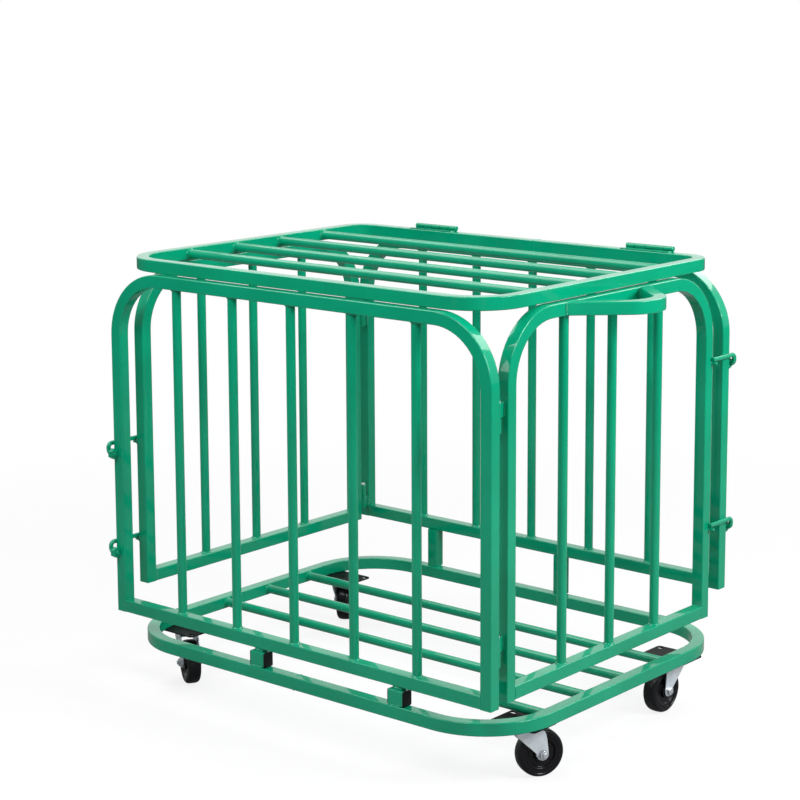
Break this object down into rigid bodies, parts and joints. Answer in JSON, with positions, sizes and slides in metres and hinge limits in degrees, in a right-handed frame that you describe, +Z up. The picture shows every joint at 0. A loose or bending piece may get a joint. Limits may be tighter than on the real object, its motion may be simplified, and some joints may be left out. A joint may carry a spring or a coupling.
{
  "type": "ball cart",
  "caption": "Wheeled open cage of bent square tube with upright round bars, a hinged barred lid, two hinged end panels, swinging latch bars, a bow handle and swivel casters.",
  "frame": {"origin": "middle of the whole cart's box at floor level", "axes": "+X towards the end panel with the bow handle, +Y towards the panel that carries the lid hinges, +Z up"},
  "size_m": [0.951, 0.73, 0.8016],
  "materials": {
    "enamel": "glossy",
    "zinc": "zinc plated",
    "black_plate": "satin",
    "wheel": "semi-gloss"
  },
  "bodies": {
    "cart": {"base_ring": "enamel", "floor_bar_1": "enamel", "floor_bar_2": "enamel", "floor_bar_3": "enamel", "floor_bar_4": "enamel", "front_stand_1": "enamel", "front_stand_2": "enamel", "back_stand_1": "enamel", "back_stand_2": "enamel", "front_frame": "enamel", "front_grille": "enamel", "back_frame": "enamel", "back_grille": "enamel", "lid_hinge_wall_leaf_left": "enamel", "lid_hinge_wall_leaf_right": "enamel", "front_hinge_pin_lower": "zinc", "front_hinge_pin_upper": "zinc", "back_hinge_pin_lower": "zinc", "back_hinge_pin_upper": "zinc", "lid_hinge_pin_left": "zinc", "lid_hinge_pin_right": "zinc", "caster_plate_front_right": "black_plate", "caster_plate_front_left": "black_plate", "caster_plate_back_right": "black_plate", "caster_plate_back_left": "black_plate", "caster_kingpin_front_right": "zinc", "caster_kingpin_front_left": "zinc", "caster_kingpin_back_right": "zinc", "caster_kingpin_back_left": "zinc"},
    "lid": {"lid_ring": "enamel", "lid_bar_1": "enamel", "lid_bar_2": "enamel", "lid_bar_3": "enamel", "lid_bar_4": "enamel", "lid_hinge_leaf_left": "enamel", "lid_hinge_leaf_right": "enamel"},
    "right_door": {"right_end_frame": "enamel", "right_end_grille": "enamel", "door_handle": "enamel"},
    "left_door": {"left_end_frame": "enamel", "left_end_grille": "enamel"},
    "front_latch_bar_lower": {"front_latch_bar_lower": "enamel"},
    "front_latch_bar_upper": {"front_latch_bar_upper": "enamel"},
    "back_latch_bar_lower": {"back_latch_bar_lower": "enamel"},
    "back_latch_bar_upper": {"back_latch_bar_upper": "enamel"},
    "caster_front_right": {"caster_fork_front_right": "zinc", "caster_axle_front_right": "zinc"},
    "wheel_front_right": {"caster_wheel_front_right": "wheel"},
    "caster_front_left": {"caster_fork_front_left": "zinc", "caster_axle_front_left": "zinc"},
    "wheel_front_left": {"caster_wheel_front_left": "wheel"},
    "caster_back_right": {"caster_fork_back_right": "zinc", "caster_axle_back_right": "zinc"},
    "wheel_back_right": {"caster_wheel_back_right": "wheel"},
    "caster_back_left": {"caster_fork_back_left": "zinc", "caster_axle_back_left": "zinc"},
    "wheel_back_left": {"caster_wheel_back_left": "wheel"}
  },
  "joints": [
    {"name": "lid_hinge", "type": "hinge", "parent": "cart", "child": "lid", "pos_m": [-0.042, 0.32565, 0.7971], "axis": [-1, 0, 0], "range_deg": [0, 210]},
    {"name": "right_door_hinge", "type": "hinge", "parent": "cart", "child": "right_door", "pos_m": [0.36905, -0.3121, 0.46], "axis": [0, 0, -1], "range_deg": [0, 95]},
    {"name": "left_door_hinge", "type": "hinge", "parent": "cart", "child": "left_door", "pos_m": [-0.45355, 0.3121, 0.46], "axis": [0, 0, -1], "range_deg": [0, 95]},
    {"name": "front_latch_pivot_lower", "type": "hinge", "parent": "cart", "child": "front_latch_bar_lower", "pos_m": [-0.4575, -0.3565, 0.2593], "axis": [1, 0, 0], "range_deg": [0, 100]},
    {"name": "front_latch_pivot_upper", "type": "hinge", "parent": "cart", "child": "front_latch_bar_upper", "pos_m": [-0.4575, -0.3565, 0.4403], "axis": [1, 0, 0], "range_deg": [0, 100]},
    {"name": "back_latch_pivot_lower", "type": "hinge", "parent": "cart", "child": "back_latch_bar_lower", "pos_m": [0.373, 0.3565, 0.3003], "axis": [-1, 0, 0], "range_deg": [0, 100]},
    {"name": "back_latch_pivot_upper", "type": "hinge", "parent": "cart", "child": "back_latch_bar_upper", "pos_m": [0.373, 0.3565, 0.5983], "axis": [-1, 0, 0], "range_deg": [0, 100]},
    {"name": "swivel_front_right", "type": "hinge", "parent": "cart", "child": "caster_front_right", "pos_m": [0.35735, -0.2249, 0.085], "axis": [0, 0, 1], "continuous": true},
    {"name": "roll_front_right", "type": "hinge", "parent": "caster_front_right", "child": "wheel_front_right", "pos_m": [0.3705, -0.20018, 0.04], "axis": [-0.8829, 0.4695, 0], "continuous": true},
    {"name": "swivel_front_left", "type": "hinge", "parent": "cart", "child": "caster_front_left", "pos_m": [-0.41665, -0.2249, 0.085], "axis": [0, 0, 1], "continuous": true},
    {"name": "roll_front_left", "type": "hinge", "parent": "caster_front_left", "child": "wheel_front_left", "pos_m": [-0.39265, -0.23932, 0.04], "axis": [0.515, 0.8572, 0], "continuous": true},
    {"name": "swivel_back_right", "type": "hinge", "parent": "cart", "child": "caster_back_right", "pos_m": [0.35735, 0.2077, 0.085], "axis": [0, 0, 1], "continuous": true},
    {"name": "roll_back_right", "type": "hinge", "parent": "caster_back_right", "child": "wheel_back_right", "pos_m": [0.35637, 0.17972, 0.04], "axis": [0.9994, -0.0349, 0], "continuous": true},
    {"name": "swivel_back_left", "type": "hinge", "parent": "cart", "child": "caster_back_left", "pos_m": [-0.41665, 0.2077, 0.085], "axis": [0, 0, 1], "continuous": true},
    {"name": "roll_back_left", "type": "hinge", "parent": "caster_back_left", "child": "wheel_back_left", "pos_m": [-0.43065, 0.23195, 0.04], "axis": [-0.866, -0.5, 0], "continuous": true}
  ]
}
